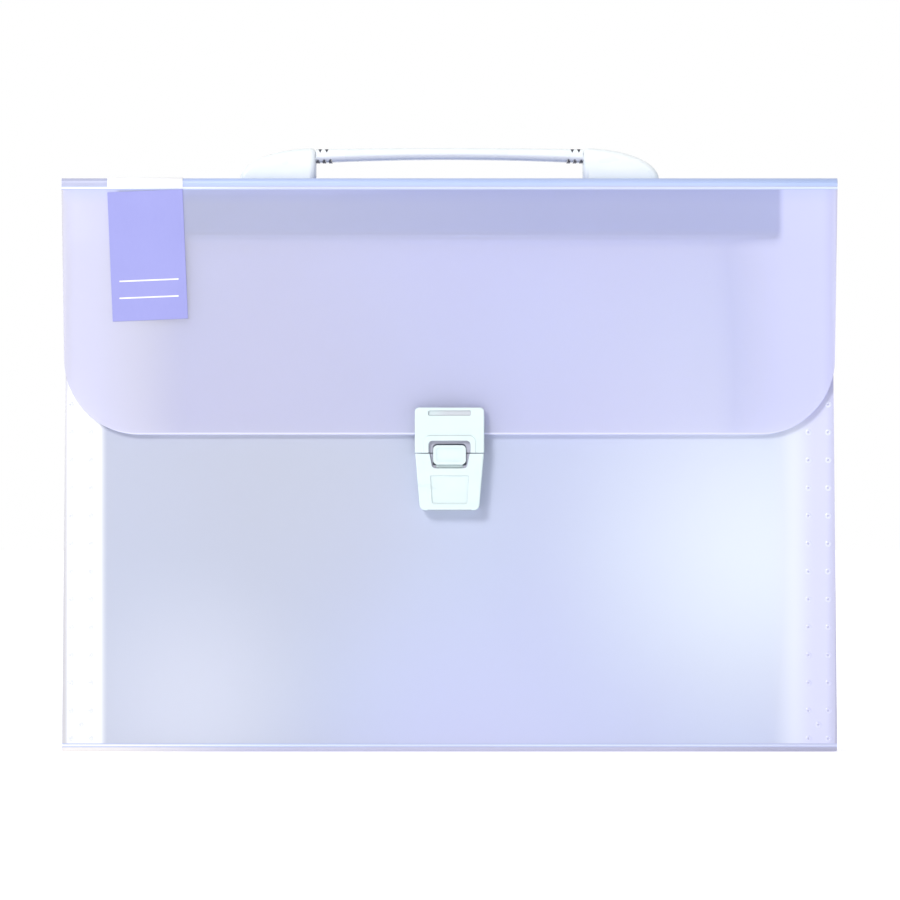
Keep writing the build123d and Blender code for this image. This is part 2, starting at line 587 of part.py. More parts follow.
def nodes():
    """Every piece of the file by name."""
    keeper_low = FLAP_EDGE + (KEEPER_TOP - FLAP_EDGE - KEEPER_PLATE_HEIGHT) / 2
    base_low = BASE_FOOT + (BASE_HEIGHT - BASE_PLATE_HEIGHT) / 2
    keeper_inside, base_inside = FLAP_FACE + SHEET, FRONT_INSIDE
    base_plate_width = BASE_RIVET_SPACING + 2 * BASE_PLATE_MARGIN
    pieces = {
        "back_panel": back_panel(),
        "bottom_spine": bottom_spine(),
        "front_panel": front_panel(),
        "top_spine": top_spine(),
        "flap": flap(),
        "latch_keeper": latch_keeper(),
        "latch_keeper_plate": latch_plate(keeper_rivet_places(), KEEPER_PLATE_WIDTH, keeper_low,
                                          keeper_low + KEEPER_PLATE_HEIGHT, keeper_inside),
        "latch_keeper_rivets": rivets_y(keeper_rivet_places(), keeper_inside + LATCH_PLATE,
                                        FLAP_FACE - RIVET_DEPTH),
        "latch_base": latch_base(),
        "latch_base_plate": latch_plate(base_rivet_places(), base_plate_width, base_low,
                                        base_low + BASE_PLATE_HEIGHT, base_inside),
        "latch_base_rivets": rivets_y(base_rivet_places(), base_inside + LATCH_PLATE,
                                      FRONT_FACE - RIVET_DEPTH),
        "latch_button": latch_button(),
        "handle_grip": handle_grip(),
        "handle_rivets": handle_rivets(),
        "label_tag": label_tag(),
        "label_tag_fold": label_tag_fold(),
    }
    for number in range(1, POCKETS):
        pieces[f"divider_{number:02d}"] = divider(number)
    for side, word in ((-1, "left"), (1, "right")):
        pieces[f"gusset_{word}"] = gusset(side)
        pieces[f"gusset_flange_front_{word}"] = flange(side, FRONT_INSIDE)
        pieces[f"gusset_flange_back_{word}"] = flange(side, BACK_INSIDE - FILM)
        pieces[f"weld_dots_front_{word}"] = weld_dots(side, FRONT_FACE, -1, FRONT_TOP)
        pieces[f"weld_dots_back_{word}"] = weld_dots(side, BACK_FACE, 1, HEIGHT - GUSSET_DROP)
        pieces[f"handle_cap_{word}"] = handle_cap(side)
        pieces[f"handle_flex_{word}"] = handle_flex(side)
        pieces[f"handle_plate_{word}"] = handle_plate(side)
    return pieces


os.makedirs("parts", exist_ok=True)
for name, piece in nodes().items():
    piece.label = name
    export_step(piece, f"parts/{name}.step")
print("opening lines y, z:", (BACK_FACE + HINGE_STANDOFF, TOP_CREASE),
      (FLAP_FACE - HINGE_STANDOFF, TOP_CREASE), (FRONT_FACE - HINGE_STANDOFF, BOTTOM_CREASE))
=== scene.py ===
import math

import bmesh
import bpy
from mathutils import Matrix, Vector


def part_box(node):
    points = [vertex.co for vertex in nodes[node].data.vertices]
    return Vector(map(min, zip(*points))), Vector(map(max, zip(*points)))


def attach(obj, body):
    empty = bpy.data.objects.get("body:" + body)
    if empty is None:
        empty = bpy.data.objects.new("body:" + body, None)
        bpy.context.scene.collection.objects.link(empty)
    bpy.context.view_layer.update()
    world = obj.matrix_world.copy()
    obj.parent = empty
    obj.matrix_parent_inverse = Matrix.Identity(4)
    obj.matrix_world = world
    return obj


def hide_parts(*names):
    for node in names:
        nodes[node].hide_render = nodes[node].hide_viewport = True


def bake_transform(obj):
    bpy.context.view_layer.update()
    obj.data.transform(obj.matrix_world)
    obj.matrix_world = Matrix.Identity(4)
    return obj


# An expanding file: frosted sheets around a pleated stack of dividers, with a
# latch, a carrying handle and a paper tag. Everything is in metres. Places come
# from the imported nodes' boxes, so each piece sits where its solid is.

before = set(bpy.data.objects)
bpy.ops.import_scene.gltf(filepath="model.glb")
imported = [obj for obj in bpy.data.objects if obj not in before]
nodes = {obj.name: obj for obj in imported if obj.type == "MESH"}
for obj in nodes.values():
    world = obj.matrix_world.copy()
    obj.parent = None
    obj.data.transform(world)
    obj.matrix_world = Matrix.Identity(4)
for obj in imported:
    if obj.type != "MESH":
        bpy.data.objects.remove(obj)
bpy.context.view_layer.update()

MM = 0.001

# Places read from the frame
FLAP_LOW, FLAP_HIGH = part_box("flap")
FRONT_LOW, FRONT_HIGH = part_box("front_panel")
BACK_LOW, BACK_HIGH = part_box("back_panel")
TOP_LOW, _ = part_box("top_spine")
_, FOOT_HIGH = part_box("bottom_spine")
GRIP_LOW, GRIP_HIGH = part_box("handle_grip")
CAP_LOW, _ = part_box("handle_cap_right")
FLEX_LOW, FLEX_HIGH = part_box("handle_flex_right")
FLANGE_LOW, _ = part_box("gusset_flange_front_right")
TAG_LOW, TAG_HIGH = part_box("label_tag")
GUSSET_LOW, GUSSET_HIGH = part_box("gusset_right")
KEEPER_LOW, KEEPER_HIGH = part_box("latch_keeper")
BASE_LOW, BASE_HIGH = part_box("latch_base")
_, BUTTON_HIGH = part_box("latch_button")
SHEET = FLAP_HIGH.y - FLAP_LOW.y
TOP_CREASE = (FLAP_HIGH.z + TOP_LOW.z) / 2
FOOT_CREASE = (FRONT_LOW.z + FOOT_HIGH.z) / 2
POCKETS = 1 + sum(1 for name in nodes if name.startswith("divider_"))

# Edges and creases
EDGE_ROUNDING = {"label_tag": 0.06 * MM, "latch_": 0.2 * MM, "handle_cap": 0.15 * MM,
                 "": 0.36 * MM}    # by the start of a node's name
EDGE_SEGMENTS = 2
EDGE_FROM = math.radians(40)           # only sharper turns are rounded
FLAT_WITHIN = math.radians(0.5)        # smaller turns count as flat
JOIN_WITHIN = 0.002 * MM
CREASE_RIB = 0.40 * MM       # half the width of a crease's rib, which carries a painted highlight
CREASE_SIDE = 0.85 * MM      # and of the whole creased strip
CREASE_FOOT = 0.015 * MM     # the strip stands this far in front of the sheets
CREASE_TOP = 0.1 * MM        # and its rib this far
CREASE_TONGUE = 0.08 * MM    # half the thickness of what fills the parting
CREASE_STEPS = 8
CREASE_COLUMNS = 8
FLAP_CORNER = 32 * MM
FLAP_RIM = 0.75 * MM         # the painted highlight along the flap's free edges

# Pleats and welds
FILM = 0.28 * MM
FOLD_BEND = 0.34 * MM        # radius of the pleats' folds
FOLD_STEPS = 6
FOLD_SWAY = 0.3 * MM         # how far a fold strays
BELLOWS_ROWS = 24
DOME_STEPS = 20
DOME_PROFILE = ((1.35, 0.0), (1.15, 0.06), (0.9, 0.18),    # radius and rise in millimetres
                (0.65, 0.22), (0.48, 0.15), (0.25, 0.03))
DOME_STAND = 0.01            # and how far the whole dome stands off, as well
DOME_DIMPLE = 0.5 * MM
WELDS_APART = 3 * MM         # points nearer than this belong to one weld

# Grip strap
CORNER_STEPS = 5
STRAP_CROWN = 1.4 * MM       # rounding above
STRAP_BELLY = 2.7 * MM       # and below
STRAP_FOOT_ARCH = 1.4 * MM   # rise of the underside, from the ends to the middle
STRAP_ROWS = 45
NOTCHED_LENGTH = 9.5 * MM
NOTCHED_ROWS = 95
NOTCH_SET = 0.9 * MM         # the dark wedge of painted shade at a notch's bottom lies this far inside the strap
NOTCH_DEPTH = 1.6 * MM       # on top
NOTCH_RISE = 1.2 * MM        # on the underside
NOTCH_HALF = 0.75 * MM
NOTCH_CURVE = 0.8            # 1 would give it straight walls
NOTCHES_TOP = (1.8 * MM, 4.6 * MM)              # from the cap
NOTCHES_FOOT = (0.8 * MM, 3.5 * MM, 6.2 * MM)
TAIL_LENGTH = 10.0 * MM
TAIL_RISE = 0.9 * MM         # above the strap's foot
TAIL_THICKNESS = 2.0 * MM
TAIL_EDGE = 0.6 * MM
STOP_THICKNESS = 2.8 * MM    # at the end of the tail

# Latch
SLOT_FOOT = KEEPER_HIGH.z - 3.6 * MM
SLOT_TOP = KEEPER_HIGH.z - 1.4 * MM
LEDGE_SET = 1.6 * MM         # steps around the button, behind the latch's face
LEDGE = 0.6 * MM             # their thickness
LEDGE_ABOVE = 0.6 * MM       # room for the button, which rises as it is pressed
LEDGE_BESIDE = 0.2 * MM
LEDGE_BELOW = 0.15 * MM      # the same, in the base
CHIN_INSET = 1.4 * MM        # the button's chin is narrower by this at each side
WINDOW_HALF = 8.9 * MM
WINDOW_ABOVE = 5.1 * MM      # above the parting
WINDOW_CORNER = 1.5 * MM
WINDOW_DRAW = 0.19           # how fast the base's window narrows downwards
BUTTON_CORNER = 1.9 * MM

# Paper tag
RULE_HALF = 0.29 * MM        # half the thickness of the tag's white rules
RULE_REACH = 12.5 * MM       # and half their length
RULE_HEIGHTS = (200.6 * MM, 193.4 * MM)
TAG_TILT = math.radians(2.4)

# Where the sheets' tints change, painted light and shade among them: from and to, along x, from the
# middle or upwards
BAND_FOOT = (213.0 * MM, 222.0 * MM)        # lower edge of the flap's band of painted shade
BAND_BLUE = (213.0 * MM, 223.5 * MM)        # and of its tint
BAND_ENDS = (137.5 * MM, 143.0 * MM)
LOWER_SIDES = (110.0 * MM, 150.0 * MM)      # the flap's paler sides, below that band
UNDER_CREASE = (232.0 * MM, 238.8 * MM)
LIT_STRIP = (230.0 * MM, 239.0 * MM)
FLAP_EDGES = (158.0 * MM, 164.0 * MM)
FLAP_RIM_ENDS = (162.5 * MM, 164.0 * MM)
CUT_EDGE = (0.25, 0.6)                      # by how squarely a face looks that way

# Clouds and grain, in waves per metre
SHEET_CLOUDS = 9.0
SHEET_WAVES = 30.0
SHEET_GRAIN = 2600.0
FLOW_MARKS = 60.0
MOULD_GRAIN = 1800.0
CARD_CLOUDS = 45.0
CARD_FIBRES = 700.0

# Colours, linear
LILAC = (0.92, 0.92, 1.0)
LILAC_PINK = (0.93, 0.92, 1.0)
INNER_TINT = (0.90, 0.90, 1.0)
LILAC_DIM = (0.72, 0.73, 0.99)
SIDE_LILAC = (0.66, 0.66, 0.84)
SIDE_BLUE = (0.65, 0.67, 0.96)
PALE_LILAC = (0.88, 0.90, 1.0)
LILAC_BLUE = (0.66, 0.70, 0.92)
# The back panel is painted darker, as shade of the hollow inside the file
BACK_SHADE = (0.48, 0.52, 0.77)
BACK_PALE = (0.59, 0.63, 0.86)
PALE_BLUE = (0.68, 0.76, 0.97)
BRIGHT_BLUE = (0.88, 0.94, 1.0)
BLUE_BAND = (0.46, 0.58, 0.90)
BLUE_BAND_PALE = (0.52, 0.62, 0.92)
# Painted light and shade on the spines: paler to the left, greyer at the foot, darker at its right
# end
HEAD_LEFT = (0.51, 0.53, 0.72)
FOOT_LEFT = (0.84, 0.81, 0.80)
FOOT_MIDDLE = (0.54, 0.54, 0.70)
FOOT_RIGHT = (0.44, 0.44, 0.59)
CREASE_HIGHLIGHT = (0.74, 0.85, 1.0)
GREY_LILAC = (0.635, 0.665, 0.77)
COLUMN_LIGHT = (0.83, 0.86, 0.98)
WELD_TINT = (0.80, 0.83, 1.0)
GROOVE_SHADE = (0.34, 0.36, 0.40)
SLOT_SHADE = (0.62, 0.65, 0.70)
WELD_LIT = (0.86, 0.88, 0.92)
WELD_DEEP = (0.55, 0.56, 0.76)
UNDER_SHADE = (0.66, 0.68, 0.75)
SHADE_BLUE = (0.50, 0.57, 0.82)
SHADE_LILAC = (0.53, 0.56, 0.80)
TOP_STRIP = (0.58, 0.63, 0.98)
TOP_LEFT = (0.62, 0.66, 0.91)
RIM_HIGHLIGHT = (0.68, 0.69, 0.93)
DIM_EDGE = (0.50, 0.50, 0.68)
SIDE_GREY = (0.54, 0.53, 0.57)
SIDE_DEEP = (0.44, 0.44, 0.60)
MILK = (0.97, 0.98, 1.0)
FILM_MILK = (0.97, 0.97, 1.0)
MINT_WHITE = (0.70, 0.82, 0.83)
MINT_PALE = (0.72, 0.84, 0.85)
COOL_WHITE = (0.84, 0.90, 0.92)
PERIWINKLE = (0.31, 0.32, 0.69)
CARD_WHITE = (0.93, 0.93, 0.94)

# Soft pools of light on the sheets: x, z, reach and strength
FLAP_POOL = (0.11, 0.155, 0.115, 0.6)
FRONT_POOL = (0.135, 0.085, 0.115, 0.75)
# and pools of painted light and shade on the front panel: the pool, then its tint
FRONT_LIGHT_AND_SHADE = (((-0.05, 0.135, 0.13, 0.7), GREY_LILAC),
               ((-0.11, 0.02, 0.07, 0.5), PALE_LILAC),
               ((0.02, -0.01, 0.11, 0.6), LILAC_DIM))
# The front panel's side edges: from and to, along x, strength and tint
FRONT_SIDES = ((-0.155, -0.160, 0.35, PALE_LILAC),
               (-0.1615, -0.1640, 0.9, SIDE_GREY),
               (0.1600, 0.1640, 0.45, SIDE_DEEP),
               (0.1638, 0.1646, 0.9, SIDE_DEEP))

# Light and floor
TENT_FRONT = 0.42            # strength of the surround in front, 1 being behind
KEY_PLACE = (-0.85, -1.8, 1.15)
KEY_TARGET = (0, 0, 0.12)
KEY_SIZE = 0.6
KEY_POWER = 26.0
FLOOR_SIZE = 12
FLOOR_TINT = (0.75, 0.75, 0.77)
FLOOR_GLOW = 0.55


class Graph:
    """A material's node tree, with short ways to add and join nodes."""

    def __init__(self, name):
        self.material = bpy.data.materials.new(name)
        self.material.use_nodes = True
        self.tree = self.material.node_tree
        self.tree.nodes.clear()
        self.output = self.add("ShaderNodeOutputMaterial")
        self.place = self.add("ShaderNodeTexCoord").outputs["Object"]

    def add(self, kind, **settings):
        node = self.tree.nodes.new(kind)
        for key, value in settings.items():
            setattr(node, key, value)
        return node

    def join(self, source, target):
        self.tree.links.new(source, target)

    def noise(self, scale, detail=2.0, rough=0.5, stretch=(1, 1, 1)):
        """Noise over the piece; scale is in waves per metre."""
        mapping = self.add("ShaderNodeMapping")
        mapping.inputs["Scale"].default_value = stretch
        self.join(self.place, mapping.inputs["Vector"])
        texture = self.add("ShaderNodeTexNoise")
        texture.inputs["Scale"].default_value = scale
        texture.inputs["Detail"].default_value = detail
        texture.inputs["Roughness"].default_value = rough
        self.join(mapping.outputs["Vector"], texture.inputs["Vector"])
        return texture.outputs["Fac"]

    def remap(self, value, low, high, start=0.3, end=0.7):
        node = self.add("ShaderNodeMapRange")
        limits = (("From Min", start), ("From Max", end), ("To Min", low), ("To Max", high))
        for key, number in limits:
            node.inputs[key].default_value = number
        self.join(value, node.inputs["Value"])
        return node.outputs["Result"]

    def blend(self, fac, first, second):
        """A colour between two colours or colour outputs."""
        node = self.add("ShaderNodeMix", data_type="RGBA")
        self.join(fac, node.inputs["Factor"])
        for socket, colour in ((node.inputs["A"], first), (node.inputs["B"], second)):
            if isinstance(colour, tuple):
                socket.default_value = (*colour, 1)
            else:
                self.join(colour, socket)
        return node.outputs["Result"]

    def bump(self, height, strength, distance, after=None):
        node = self.add("ShaderNodeBump")
        node.inputs["Strength"].default_value = strength
        node.inputs["Distance"].default_value = distance
        self.join(height, node.inputs["Height"])
        if after:
            self.join(after, node.inputs["Normal"])
        return node.outputs["Normal"]

    def point(self):
        """The object-space place as three outputs, X, Y and Z."""
        split = self.add("ShaderNodeSeparateXYZ")
        self.join(self.place, split.inputs["Vector"])
        return split.outputs

    def maths(self, operation, first, second=None):
        node = self.add("ShaderNodeMath", operation=operation)
        for socket, value in zip(node.inputs, (first, second)):
            if isinstance(value, (int, float)):
                socket.default_value = value
            elif value is not None:
                self.join(value, socket)
        return node.outputs["Value"]

    def times(self, first, second):
        return self.maths("MULTIPLY", first, second)

    def most(self, first, *others):
        """The largest of several values."""
        for value in others:
            first = self.maths("MAXIMUM", first, value)
        return first

    def ramp(self, value, start, end, low=0.0, high=1.0):
        """A smooth step from low to high between start and end."""
        result = self.remap(value, low, high, start, end)
        result.node.interpolation_type = "SMOOTHSTEP"
        return result

    def shift(self, colour, other, value, start, end, amount=1.0):
        """The colour, turning by that amount into another one from start to end."""
        return self.blend(self.ramp(value, start, end, 0.0, amount), colour, other)

    def pool(self, x, z, reach, depth=1.0):
        """A soft round pool, depth in its middle and 0 at its rim."""
        gap = self.add("ShaderNodeVectorMath", operation="DISTANCE")
        flat = self.add("ShaderNodeVectorMath", operation="MULTIPLY")
        flat.inputs[1].default_value = (1, 0, 1)
        self.join(self.place, flat.inputs[0])
        self.join(flat.outputs["Vector"], gap.inputs[0])
        gap.inputs[1].default_value = (x, 0, z)
        return self.ramp(gap.outputs["Value"], reach, 0.0, 0.0, depth)

    def normal(self, axis):
        """How squarely a face looks along an axis, from -1 to 1."""
        split = self.add("ShaderNodeSeparateXYZ")
        self.join(self.add("ShaderNodeTexCoord").outputs["Normal"], split.inputs["Vector"])
        return split.outputs[axis]

    def facing(self, axis):
        """The same either way, from 0 to 1."""
        return self.maths("ABSOLUTE", self.normal(axis))


def see_through(g, colour, normal, rough, through, clear, tint, solid=None, open_side=None):
    """The frosted film shader: sheen, light that soaks through, and a little clear view.

    Where solid is 1, the film is milky and opaque. Where open_side is 1, it only tints.
    """
    body = g.add("ShaderNodeBsdfPrincipled")
    g.join(colour, body.inputs["Base Color"])
    g.join(rough, body.inputs["Roughness"])
    g.join(normal, body.inputs["Normal"])
    soak = g.add("ShaderNodeBsdfTranslucent")
    g.join(colour, soak.inputs["Color"])
    glow = g.add("ShaderNodeMixShader")
    glow.inputs["Fac"].default_value = through
    g.join(body.outputs[0], glow.inputs[1])
    g.join(soak.outputs[0], glow.inputs[2])
    view = g.add("ShaderNodeBsdfTransparent")
    view.inputs["Color"].default_value = (*[0.5 + 0.5 * c for c in tint], 1)
    last = g.add("ShaderNodeMixShader")
    last.inputs["Fac"].default_value = clear
    g.join(glow.outputs[0], last.inputs[1])
    g.join(view.outputs[0], last.inputs[2])
    if solid:
        filled = g.add("ShaderNodeMixShader")
        g.join(solid, filled.inputs["Fac"])
        g.join(last.outputs[0], filled.inputs[1])
        g.join(body.outputs[0], filled.inputs[2])
        last = filled
    if open_side:
        passed = g.add("ShaderNodeMixShader")
        free = g.add("ShaderNodeBsdfTransparent")
        free.inputs["Color"].default_value = (*INNER_TINT, 1.0)
        g.join(open_side(g), passed.inputs["Fac"])
        g.join(last.outputs[0], passed.inputs[1])
        g.join(free.outputs[0], passed.inputs[2])
        last = passed
    g.join(last.outputs[0], g.output.inputs["Surface"])
    return g.material


def flap_inside(g):
    """The flap's inner face, which only adds a tint to what its outer face does."""
    return g.ramp(g.point()[1], FLAP_LOW.y + 0.3 * SHEET, FLAP_LOW.y + 0.7 * SHEET)


def frosted(name, tint, second, clear, through, rough=0.38, dress=None, open_side=None):
    """Frosted sheet with soft clouds of two tints; dress adds more to its colour."""
    g = Graph(name)
    colour = g.blend(g.remap(g.noise(SHEET_CLOUDS, 1.0, 0.4), 0.0, 1.0), tint, second)
    solid = None
    if dress:
        colour, solid = dress(g, colour)
    waves = g.noise(SHEET_WAVES, 1.0, 0.4)
    normal = g.bump(waves, 0.25, 0.6 * MM)
    normal = g.bump(g.noise(SHEET_GRAIN, 1.0), 0.12, 0.03 * MM, normal)
    rough = g.remap(waves, rough - 0.05, rough + 0.07)
    return see_through(g, colour, normal, rough, through, clear, tint, solid, open_side)


def dress_flap(g, colour):
    """Milkier over the gussets, with a pool of light, a dim bluer band of painted shade along the
    top, more painted shade just under the top crease, and a painted highlight along the rim.
    """
    x, _, z = g.point()
    from_middle = g.maths("ABSOLUTE", x)
    to_right = g.ramp(x, -0.1, 0.1)
    bright = g.pool(*FLAP_POOL)
    colour = g.blend(bright, colour, PALE_LILAC)
    # painted shade: a dim, bluer band along the top, where the hollow above the dividers lies
    # behind
    head = g.ramp(z, *BAND_BLUE, 0.0, 0.8)
    colour = g.blend(head, colour, g.blend(g.ramp(x, -0.10, 0.06), TOP_LEFT, TOP_STRIP))
    upper_sides = g.times(g.ramp(from_middle, *BAND_ENDS), g.ramp(z, *BAND_FOOT))
    lower_sides = g.times(g.ramp(from_middle, *LOWER_SIDES), g.ramp(z, *BAND_FOOT[::-1]))
    sides = g.maths("ADD", upper_sides, lower_sides)
    colour = g.blend(sides, colour, g.blend(to_right, SIDE_LILAC, SIDE_BLUE))
    # painted shade: darker and bluer just under the top crease
    colour = g.shift(colour, TOP_STRIP, z, *UNDER_CREASE, 0.6)
    edge = g.blend(to_right, SIDE_GREY, SIDE_DEEP)
    colour = g.shift(colour, edge, from_middle, *FLAP_EDGES, 0.4)
    # painted highlight: a pale line along the free edges, dimmer at the sides
    rim = g.ramp(flap_margin(g, from_middle, z), 1.15 * FLAP_RIM, 0.85 * FLAP_RIM)
    rim_colour = g.shift(RIM_HIGHLIGHT, edge, from_middle, *FLAP_RIM_ENDS, 0.8)
    lit = g.times(g.ramp(z, *LIT_STRIP), g.ramp(x, -0.06, 0.09, 0.35, 0.08))
    solid = g.most(g.times(sides, 0.75), g.times(bright, 0.25), g.times(head, 0.35), lit, rim)
    return g.blend(rim, colour, rim_colour), solid


def flap_margin(g, from_middle, z):
    """Distance from the flap's free edges, with its two big round corners."""
    side = g.most(g.maths("SUBTRACT", from_middle, FLAP_HIGH.x - FLAP_CORNER), 0.0)
    down = g.most(g.maths("SUBTRACT", FLAP_LOW.z + FLAP_CORNER, z), 0.0)
    squares = g.maths("ADD", g.maths("POWER", side, 2.0), g.maths("POWER", down, 2.0))
    return g.maths("SUBTRACT", FLAP_CORNER, g.maths("SQRT", squares))


def dress_front(g, colour):
    """The milky weld columns at both sides, with painted light on the left one and painted shade on
    the right one's outer part; pools of painted light and shade between them; and painted
    highlights on the cut edges that face up and down.
    """
    x, _, _ = g.point()
    bright = g.pool(*FRONT_POOL)
    colour = g.blend(bright, colour, BRIGHT_BLUE)
    colour = g.shift(colour, GREY_LILAC, x, 0.0, -0.09, 0.7)
    for pool, tint in FRONT_LIGHT_AND_SHADE:
        colour = g.blend(g.pool(*pool), colour, tint)
    strip = FLANGE_LOW.x
    left = g.ramp(x, -strip + 1.5 * MM, -strip - 3.0 * MM)
    right = g.ramp(x, strip - 12.0 * MM, strip + 1.0 * MM, 0.0, 0.6)
    colour = g.blend(right, colour, COLUMN_LIGHT)
    # painted shade: the outer part of the right column dimmer
    colour = g.shift(colour, LILAC_DIM, x, 0.146, 0.156, 0.85)
    colour = g.blend(left, colour, MILK)
    for start, end, amount, tint in FRONT_SIDES:
        colour = g.shift(colour, tint, x, start, end, amount)
    # painted highlight on the cut edges that face up and down
    edge = g.ramp(g.facing("Z"), *CUT_EDGE)
    return g.blend(edge, colour, MILK), g.most(left, right, edge, g.times(bright, 0.5))


def dress_back(g, colour):
    """Dim cut edges."""
    return g.shift(colour, DIM_EDGE, g.facing("X"), *CUT_EDGE, 0.7), None


def dress_spine(g, colour):
    """Bluer at the top of the file; greyer at its foot as painted shade, paler to the left as
    painted light, and darker at the foot's right end as painted shade; with dim ends.
    """
    x, _, z = g.point()
    head = g.shift(HEAD_LEFT, colour, x, -0.16, -0.09)
    foot = g.shift(FOOT_MIDDLE, FOOT_RIGHT, x, 0.08, 0.165)
    foot = g.shift(FOOT_LEFT, foot, x, -0.165, -0.07)
    return dress_back(g, g.shift(foot, head, z, 0.10, 0.12))


def dress_crease(g, colour):
    """Paler to the left, as painted light."""
    x, _, _ = g.point()
    return g.shift(MILK, colour, x, -0.16, -0.06), None


def dress_weld(g, colour):
    """Paler to the left: painted light, as on the film behind."""
    x, _, _ = g.point()
    return g.shift(colour, WELD_LIT, x, -0.10, -0.13, 0.85), None


def moulded(name, colour, shade, rough=0.32, under=None, dress=None):
    """Satin moulding with faint flow marks, and, if given, painted shade on faces that look down.
    """
    g = Graph(name)
    flow = g.noise(FLOW_MARKS, 2.0, 0.5, (1, 1, 2.5))
    body = g.add("ShaderNodeBsdfPrincipled")
    tone = g.blend(g.remap(flow, 0.0, 1.0), colour, shade)
    if under:
        tone = g.shift(tone, under, g.normal("Z"), -0.05, -0.45)
    if dress:
        tone = dress(g, tone)
    g.join(tone, body.inputs["Base Color"])
    g.join(g.remap(flow, rough - 0.05, rough + 0.08), body.inputs["Roughness"])
    normal = g.bump(flow, 0.1, 0.1 * MM)
    normal = g.bump(g.noise(MOULD_GRAIN, 1.0), 0.1, 0.02 * MM, normal)
    g.join(normal, body.inputs["Normal"])
    body.inputs["Subsurface Weight"].default_value = 0.1
    body.inputs["Subsurface Radius"].default_value = (0.001, 0.001, 0.001)
    g.join(body.outputs[0], g.output.inputs["Surface"])
    return g.material


def dress_latch(g, colour):
    """Greyer on the walls of its window and slot, and on the floor of the slot: painted shade."""
    x, y, z = g.point()
    face = KEEPER_LOW.y
    inside = g.times(g.ramp(g.maths("ABSOLUTE", x), WINDOW_HALF + 0.7 * MM, WINDOW_HALF + 0.2 * MM),
                     g.ramp(z, SLOT_TOP, SLOT_TOP - 0.3 * MM))
    shallow = g.ramp(y, face + LEDGE_SET + 0.3 * MM, face + LEDGE_SET)
    walls = g.times(g.ramp(g.facing("Y"), 0.97, 0.6), shallow)
    colour = g.blend(g.times(walls, inside), colour, GROOVE_SHADE)
    floor = g.times(g.ramp(y, face + 0.6 * MM, face + 0.8 * MM),
                    g.ramp(z, SLOT_FOOT - 0.2 * MM, SLOT_FOOT))
    return g.blend(g.times(floor, g.ramp(x, -0.010, 0.0, 0.2, 1.0)), colour, SLOT_SHADE)


def card(name, colour, shade, rules=False, rough=0.62):
    """Card with a paper grain, and with two fine white rules where it is printed."""
    g = Graph(name)
    fibres = g.noise(CARD_FIBRES, 3.0, 0.6, (1, 1, 0.4))
    ink = g.blend(g.remap(g.noise(CARD_CLOUDS, 2.0), 0.0, 1.0), colour, shade)
    if rules:
        x, _, z = g.point()
        lean = math.tan(TAG_TILT)
        across = g.maths("SUBTRACT", x, (TAG_LOW.x + TAG_HIGH.x) / 2 + 0.6 * MM)
        height = g.maths("SUBTRACT", z, g.times(across, lean))
        within = g.ramp(g.maths("ABSOLUTE", across), RULE_REACH + 0.2 * MM, RULE_REACH - 0.1 * MM)
        for level in RULE_HEIGHTS:
            gap = g.maths("ABSOLUTE", g.maths("SUBTRACT", height, level))
            line = g.ramp(gap, 1.3 * RULE_HALF, 0.7 * RULE_HALF)
            ink = g.blend(g.times(line, within), ink, CARD_WHITE)
    body = g.add("ShaderNodeBsdfPrincipled")
    g.join(ink, body.inputs["Base Color"])
    g.join(g.remap(fibres, rough - 0.08, rough + 0.1), body.inputs["Roughness"])
    g.join(g.bump(fibres, 0.2, 0.03 * MM), body.inputs["Normal"])
    g.join(body.outputs[0], g.output.inputs["Surface"])
    return g.material


def plain_stage(name, colour, glow):
    """A pale floor that glows a little, as in a light tent."""
    g = Graph(name)
    body = g.add("ShaderNodeBsdfPrincipled")
    body.inputs["Base Color"].default_value = (*colour, 1)
    body.inputs["Roughness"].default_value = 0.9
    body.inputs["Emission Color"].default_value = (1, 1, 1, 1)
    body.inputs["Emission Strength"].default_value = glow
    g.join(body.outputs[0], g.output.inputs["Surface"])
    return g.material


FLAP_SHEET = frosted("flap_sheet", LILAC, LILAC_PINK, clear=0.42, through=0.45,
                     dress=dress_flap, open_side=flap_inside)
FRONT_SHEET = frosted("front_sheet", PALE_BLUE, LILAC_BLUE, clear=0.18, through=0.15,
                      dress=dress_front)
SPINE_SHEET = frosted("spine_sheet", BLUE_BAND, BLUE_BAND_PALE, clear=0.0, through=0.08,
                      dress=dress_spine)
# painted darker, as shade of the hollow inside the file
BACK_SHEET = frosted("back_sheet", BACK_SHADE, BACK_PALE, clear=0.0, through=0.05,
                     dress=dress_back)
DIVIDER_SHEET = frosted("divider_sheet", MILK, PALE_BLUE, clear=0.06, through=0.3, rough=0.42)
PLEATED_FILM = frosted("pleated_film", MILK, FILM_MILK, clear=0.06, through=0.35, rough=0.3)
# the creases' ribs: painted highlight, paler to the left as painted light; their flanks: painted
# shade
CREASE_FILM = frosted("crease_film", CREASE_HIGHLIGHT, LILAC_BLUE, clear=0.0, through=0.1,
                      rough=0.25, dress=dress_crease)
CREASE_SHADE = frosted("crease_shade", SHADE_BLUE, SHADE_LILAC, clear=0.0, through=0.1,
                       rough=0.3)
WELD = frosted("weld", WELD_TINT, LILAC_DIM, clear=0.0, through=0.1, rough=0.22,
               dress=dress_weld)
WELD_SHADE = frosted("weld_shade", WELD_DEEP, WELD_DEEP, clear=0.0, through=0.1, rough=0.3,
                     dress=dress_weld)
LATCH_WHITE = moulded("latch_moulding", MINT_WHITE, MINT_PALE, dress=dress_latch)
BUTTON_WHITE = moulded("button_moulding", MINT_WHITE, MINT_PALE)
LATCH_SHADE = moulded("latch_shade", (0.47, 0.48, 0.58), (0.51, 0.52, 0.62), rough=0.45)
